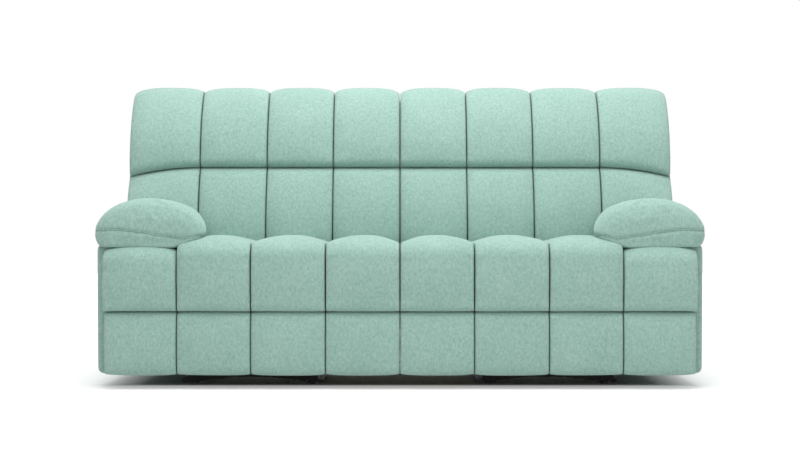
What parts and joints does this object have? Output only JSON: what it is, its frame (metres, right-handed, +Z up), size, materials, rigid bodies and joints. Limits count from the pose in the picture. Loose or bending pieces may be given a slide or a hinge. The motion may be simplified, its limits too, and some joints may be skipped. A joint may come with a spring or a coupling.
{
  "type": "reclining sofa",
  "caption": "Upholstered reclining sofa with channelled seats and backs, pillowed arms, independent fold-out footrests and a forward-gliding steel mechanism under each seat",
  "frame": {"origin": "centre of the sofa's footprint, on the floor", "axes": "+X along the sofa's width to the right in the picture, +Y to the back, +Z up; the sitter faces -Y"},
  "size_m": [2.012, 0.9344, 1.0508],
  "materials": {
    "upholstery": "soft short-nap cloth",
    "frame_timber": "sawn, unfinished",
    "mechanism_steel": "satin black enamel",
    "spring_steel": "drawn wire",
    "webbing": "woven elastic",
    "glide_plastic": "moulded",
    "cup_plastic": "fine-grained"
  },
  "bodies": {
    "base": {"left_base_rails": "mechanism_steel", "left_front_cross_bar": "mechanism_steel", "left_rear_cross_bar": "mechanism_steel", "left_glides": "glide_plastic", "right_base_rails": "mechanism_steel", "right_front_cross_bar": "mechanism_steel", "right_rear_cross_bar": "mechanism_steel", "right_glides": "glide_plastic", "tie_bar": "mechanism_steel", "tie_bolts": "spring_steel"},
    "left_rear_swing": {"left_rear_swing_links": "mechanism_steel"},
    "left_front_swing": {"left_front_swing_links": "mechanism_steel"},
    "left_seat": {"left_mechanism_plates": "mechanism_steel", "left_seat_frame": "frame_timber", "left_seat_springs": "spring_steel", "left_seat_cushion": "upholstery", "left_arm_frame": "frame_timber", "left_arm_cover": "upholstery", "left_arm_pillow": "upholstery", "left_release_cup": "cup_plastic"},
    "left_back": {"left_back_frame": "frame_timber", "left_back_straps": "webbing", "left_back_cushion": "upholstery", "left_back_cover": "upholstery", "left_back_brackets": "mechanism_steel"},
    "left_drive": {"left_drive_links": "mechanism_steel"},
    "left_carrier": {"left_carrier_links": "mechanism_steel"},
    "left_guide": {"left_guide_links": "mechanism_steel"},
    "left_stay": {"left_stay_links": "mechanism_steel"},
    "left_footrest": {"left_footrest_brackets": "mechanism_steel", "left_footrest_board": "frame_timber", "left_footrest_pad": "upholstery"},
    "left_lever": {"left_release_lever": "cup_plastic"},
    "right_rear_swing": {"right_rear_swing_links": "mechanism_steel"},
    "right_front_swing": {"right_front_swing_links": "mechanism_steel"},
    "right_seat": {"right_mechanism_plates": "mechanism_steel", "right_seat_frame": "frame_timber", "right_seat_springs": "spring_steel", "right_seat_cushion": "upholstery", "right_arm_frame": "frame_timber", "right_arm_cover": "upholstery", "right_arm_pillow": "upholstery", "right_release_cup": "cup_plastic"},
    "right_back": {"right_back_frame": "frame_timber", "right_back_straps": "webbing", "right_back_cushion": "upholstery", "right_back_cover": "upholstery", "right_back_brackets": "mechanism_steel"},
    "right_drive": {"right_drive_links": "mechanism_steel"},
    "right_carrier": {"right_carrier_links": "mechanism_steel"},
    "right_guide": {"right_guide_links": "mechanism_steel"},
    "right_stay": {"right_stay_links": "mechanism_steel"},
    "right_footrest": {"right_footrest_brackets": "mechanism_steel", "right_footrest_board": "frame_timber", "right_footrest_pad": "upholstery"},
    "right_lever": {"right_release_lever": "cup_plastic"}
  },
  "joints": [
    {"name": "left_recline", "type": "hinge", "parent": "base", "child": "left_rear_swing", "pos_m": [-0.5, 0.12, 0.06], "axis": [1, 0, 0], "range_deg": [0, 48]},
    {"name": "left_seat_glide", "type": "hinge", "parent": "left_rear_swing", "child": "left_seat", "pos_m": [-0.5, 0.181, 0.197], "axis": [1, 0, 0], "range_deg": [-48.01, 0]},
    {"name": "left_front_swing", "type": "hinge", "parent": "base", "child": "left_front_swing", "pos_m": [-0.5, -0.16, 0.06], "axis": [1, 0, 0], "range_deg": [0, 48.01]},
    {"name": "left_back_tilt", "type": "hinge", "parent": "left_seat", "child": "left_back", "pos_m": [-0.5, 0.235, 0.25], "axis": [-1, 0, 0], "range_deg": [0, 38.01]},
    {"name": "left_footrest", "type": "hinge", "parent": "left_seat", "child": "left_drive", "pos_m": [-0.5, -0.335, 0.234], "axis": [-1, 0, 0], "range_deg": [0, 131]},
    {"name": "left_carrier_turn", "type": "hinge", "parent": "left_drive", "child": "left_carrier", "pos_m": [-0.5, -0.21952, 0.10653], "axis": [-1, 0, 0], "range_deg": [-112.23, 0]},
    {"name": "left_footrest_turn", "type": "hinge", "parent": "left_carrier", "child": "left_footrest", "pos_m": [-0.5, -0.371, 0.188], "axis": [-1, 0, 0], "range_deg": [0, 75.88]},
    {"name": "left_guide_turn", "type": "hinge", "parent": "left_seat", "child": "left_guide", "pos_m": [-0.5, -0.30019, 0.21458], "axis": [-1, 0, 0], "range_deg": [0, 133.98]},
    {"name": "left_stay_turn", "type": "hinge", "parent": "left_drive", "child": "left_stay", "pos_m": [-0.5, -0.20661, 0.08168], "axis": [-1, 0, 0], "range_deg": [-111.52, 0]},
    {"name": "left_release", "type": "hinge", "parent": "left_seat", "child": "left_lever", "pos_m": [-0.988, -0.21, 0.35], "axis": [0, 1, 0], "range_deg": [0, 25], "stiffness_Nm_per_rad": 0.4},
    {"name": "right_recline", "type": "hinge", "parent": "base", "child": "right_rear_swing", "pos_m": [0.5, 0.12, 0.06], "axis": [1, 0, 0], "range_deg": [0, 48]},
    {"name": "right_seat_glide", "type": "hinge", "parent": "right_rear_swing", "child": "right_seat", "pos_m": [0.5, 0.181, 0.197], "axis": [1, 0, 0], "range_deg": [-48.01, 0]},
    {"name": "right_front_swing", "type": "hinge", "parent": "base", "child": "right_front_swing", "pos_m": [0.5, -0.16, 0.06], "axis": [1, 0, 0], "range_deg": [0, 48.01]},
    {"name": "right_back_tilt", "type": "hinge", "parent": "right_seat", "child": "right_back", "pos_m": [0.5, 0.235, 0.25], "axis": [-1, 0, 0], "range_deg": [0, 38.01]},
    {"name": "right_footrest", "type": "hinge", "parent": "right_seat", "child": "right_drive", "pos_m": [0.5, -0.335, 0.234], "axis": [-1, 0, 0], "range_deg": [0, 131]},
    {"name": "right_carrier_turn", "type": "hinge", "parent": "right_drive", "child": "right_carrier", "pos_m": [0.5, -0.21952, 0.10653], "axis": [-1, 0, 0], "range_deg": [-112.23, 0]},
    {"name": "right_footrest_turn", "type": "hinge", "parent": "right_carrier", "child": "right_footrest", "pos_m": [0.5, -0.371, 0.188], "axis": [-1, 0, 0], "range_deg": [0, 75.88]},
    {"name": "right_guide_turn", "type": "hinge", "parent": "right_seat", "child": "right_guide", "pos_m": [0.5, -0.30019, 0.21458], "axis": [-1, 0, 0], "range_deg": [0, 133.98]},
    {"name": "right_stay_turn", "type": "hinge", "parent": "right_drive", "child": "right_stay", "pos_m": [0.5, -0.20661, 0.08168], "axis": [-1, 0, 0], "range_deg": [-111.52, 0]},
    {"name": "right_release", "type": "hinge", "parent": "right_seat", "child": "right_lever", "pos_m": [0.988, -0.21, 0.35], "axis": [0, -1, 0], "range_deg": [0, 25], "stiffness_Nm_per_rad": 0.4}
  ],
  "couplings": [
    {"joint": "left_seat_glide", "follows": "left_recline", "ratio": -1},
    {"joint": "left_front_swing", "follows": "left_recline", "ratio": 1},
    {"joint": "left_back_tilt", "follows": "left_recline", "ratio": 0.79167},
    {"joint": "left_carrier_turn", "follows": "left_footrest", "ratio": -0.85655},
    {"joint": "left_footrest_turn", "follows": "left_footrest", "ratio": 0.57905},
    {"joint": "left_guide_turn", "follows": "left_footrest", "ratio": 1.0226},
    {"joint": "left_stay_turn", "follows": "left_footrest", "ratio": -0.85111},
    {"joint": "right_seat_glide", "follows": "right_recline", "ratio": -1},
    {"joint": "right_front_swing", "follows": "right_recline", "ratio": 1},
    {"joint": "right_back_tilt", "follows": "right_recline", "ratio": 0.79167},
    {"joint": "right_carrier_turn", "follows": "right_footrest", "ratio": -0.85655},
    {"joint": "right_footrest_turn", "follows": "right_footrest", "ratio": 0.57905},
    {"joint": "right_guide_turn", "follows": "right_footrest", "ratio": 1.0226},
    {"joint": "right_stay_turn", "follows": "right_footrest", "ratio": -0.85111}
  ]
}
